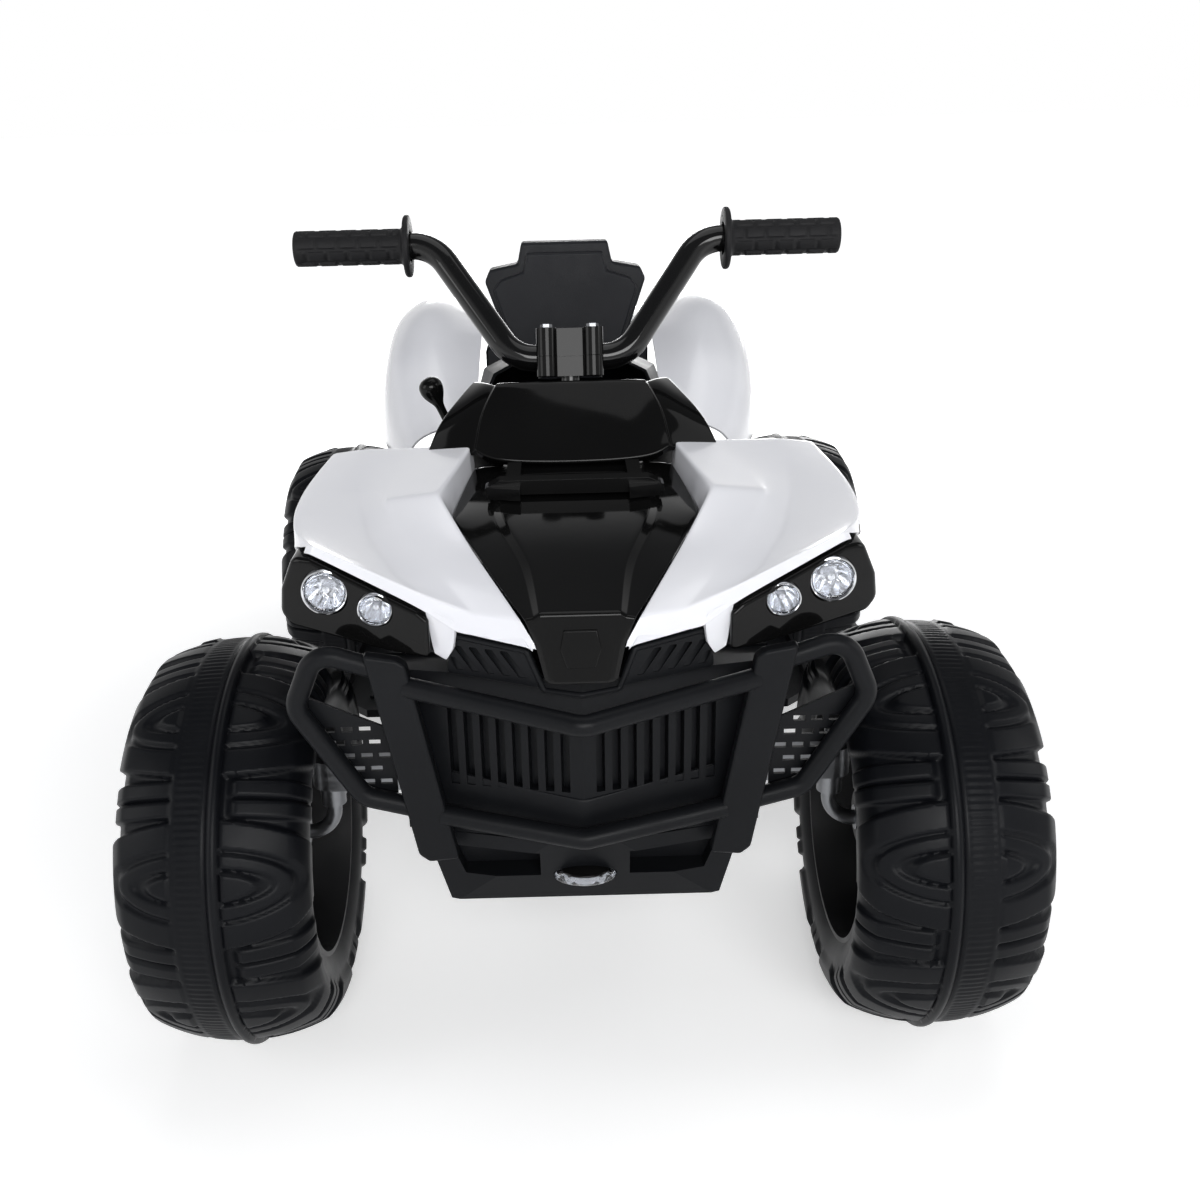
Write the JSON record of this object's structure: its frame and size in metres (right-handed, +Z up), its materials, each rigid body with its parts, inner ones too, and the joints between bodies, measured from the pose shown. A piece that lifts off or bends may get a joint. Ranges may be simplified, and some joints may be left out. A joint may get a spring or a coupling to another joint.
{
  "type": "kids quad bike",
  "caption": "Battery ride-on quad bike for children: faceted shell, bull bar, wide moulded tyres and a handlebar that steers the front wheels.",
  "frame": {"origin": "on the floor under the middle of the overall box", "axes": "+Z up, the front looks along -Y, +X is the rider's left"},
  "size_m": [0.68, 1.0197, 0.6361],
  "materials": {
    "white_shell": "gloss",
    "black_gloss": "gloss",
    "black_matte": "fine grain",
    "seat_shell": "satin",
    "tyre_shell": "satin",
    "wheel_disc": "satin",
    "hub_cap": "gloss",
    "black_tube": "gloss",
    "grip_rubber": "matt",
    "zinc_steel": "zinc plated",
    "gear_case": "moulded",
    "battery_case": "moulded",
    "lamp_bowl": "bright",
    "clear_lens": "clear",
    "red_lens": "gloss"
  },
  "bodies": {
    "chassis": {"chassis_tub": "black_matte", "footrest_left": "black_matte", "footrest_right": "black_matte", "front_axle_beam": "zinc_steel", "rear_axle": "zinc_steel", "rear_axle_nuts": "zinc_steel", "gear_motor_left": "gear_case", "gear_motor_right": "gear_case", "battery": "battery_case", "control_box": "black_matte", "tail_lamps": "red_lens", "hood": "black_gloss", "nose_plate": "black_gloss", "front_fender_left": "white_shell", "front_fender_right": "white_shell", "headlight_pod_left": "black_gloss", "headlight_pod_right": "black_gloss", "headlight_reflectors": "lamp_bowl", "headlight_lenses": "clear_lens", "chin_grille": "black_matte", "grille_panel": "black_matte", "skid_panel": "black_matte", "fog_lamp_lens": "clear_lens", "front_bumper": "black_matte", "bumper_mesh_left": "black_matte", "bumper_mesh_right": "black_matte", "front_rack": "black_gloss", "dash_cowl": "black_gloss", "tank_cover": "black_matte", "rear_body": "white_shell", "seat": "seat_shell", "column_bush": "gear_case"},
    "steering": {"steering_column": "black_tube", "handlebar": "black_tube", "clamp_base": "black_gloss", "clamp_cap": "black_gloss", "clamp_bolts": "zinc_steel", "grip_left": "grip_rubber", "grip_right": "grip_rubber"},
    "knuckle_left": {"knuckle_left": "zinc_steel", "axle_nut_left": "zinc_steel"},
    "knuckle_right": {"knuckle_right": "zinc_steel", "axle_nut_right": "zinc_steel"},
    "tie_rod": {"tie_rod": "zinc_steel"},
    "gear_lever": {"gear_lever": "black_gloss"},
    "accelerator_pedal": {"accelerator_pedal": "black_matte"},
    "power_button": {"power_button": "black_gloss"},
    "horn_button": {"horn_button": "black_gloss"},
    "wheel_front_left": {"tyre_front_left": "tyre_shell", "rim_front_left": "wheel_disc", "hub_cap_front_left": "hub_cap"},
    "wheel_front_right": {"tyre_front_right": "tyre_shell", "rim_front_right": "wheel_disc", "hub_cap_front_right": "hub_cap"},
    "wheel_rear_left": {"tyre_rear_left": "tyre_shell", "rim_rear_left": "wheel_disc", "hub_cap_rear_left": "hub_cap"},
    "wheel_rear_right": {"tyre_rear_right": "tyre_shell", "rim_rear_right": "wheel_disc", "hub_cap_rear_right": "hub_cap"}
  },
  "joints": [
    {"name": "steering", "type": "hinge", "parent": "chassis", "child": "steering", "pos_m": [0, -0.235, 0.212], "axis": [0, 0.2588, 0.9659], "range_deg": [-25, 25]},
    {"name": "knuckle_left_turn", "type": "hinge", "parent": "chassis", "child": "knuckle_left", "pos_m": [0.202, -0.3, 0.165], "axis": [0, 0, 1], "range_deg": [-25, 25]},
    {"name": "knuckle_right_turn", "type": "hinge", "parent": "chassis", "child": "knuckle_right", "pos_m": [-0.202, -0.3, 0.165], "axis": [0, 0, 1], "range_deg": [-25, 25]},
    {"name": "tie_rod_swing", "type": "hinge", "parent": "knuckle_left", "child": "tie_rod", "pos_m": [0.202, -0.255, 0.19], "axis": [0, 0, 1], "range_deg": [-25, 25]},
    {"name": "wheel_front_left_spin", "type": "hinge", "parent": "knuckle_left", "child": "wheel_front_left", "pos_m": [0.269, -0.3, 0.165], "axis": [1, 0, 0], "continuous": true},
    {"name": "wheel_front_right_spin", "type": "hinge", "parent": "knuckle_right", "child": "wheel_front_right", "pos_m": [-0.269, -0.3, 0.165], "axis": [1, 0, 0], "continuous": true},
    {"name": "wheel_rear_left_spin", "type": "hinge", "parent": "chassis", "child": "wheel_rear_left", "pos_m": [0.269, 0.31, 0.165], "axis": [1, 0, 0], "continuous": true},
    {"name": "wheel_rear_right_spin", "type": "hinge", "parent": "chassis", "child": "wheel_rear_right", "pos_m": [-0.269, 0.31, 0.165], "axis": [1, 0, 0], "continuous": true},
    {"name": "gear_lever_throw", "type": "hinge", "parent": "chassis", "child": "gear_lever", "pos_m": [-0.102, -0.085, 0.4337], "axis": [1, 0, 0], "range_deg": [-15, 15]},
    {"name": "pedal_press", "type": "hinge", "parent": "chassis", "child": "accelerator_pedal", "pos_m": [-0.158, -0.03, 0.179], "axis": [1, 0, 0], "range_deg": [0, 12], "stiffness_Nm_per_rad": 0.5, "springref_deg": -8.59},
    {"name": "power_button_press", "type": "slide", "parent": "chassis", "child": "power_button", "axis": [0, 0, -1], "range_m": [0, 0.0025], "stiffness_N_per_m": 200, "springref_m": -0.003},
    {"name": "horn_button_press", "type": "slide", "parent": "chassis", "child": "horn_button", "axis": [0, 0, -1], "range_m": [0, 0.0025], "stiffness_N_per_m": 200, "springref_m": -0.003}
  ],
  "couplings": [
    {"joint": "knuckle_left_turn", "follows": "steering", "ratio": 1},
    {"joint": "knuckle_right_turn", "follows": "steering", "ratio": 1},
    {"joint": "tie_rod_swing", "follows": "steering", "ratio": -1}
  ]
}
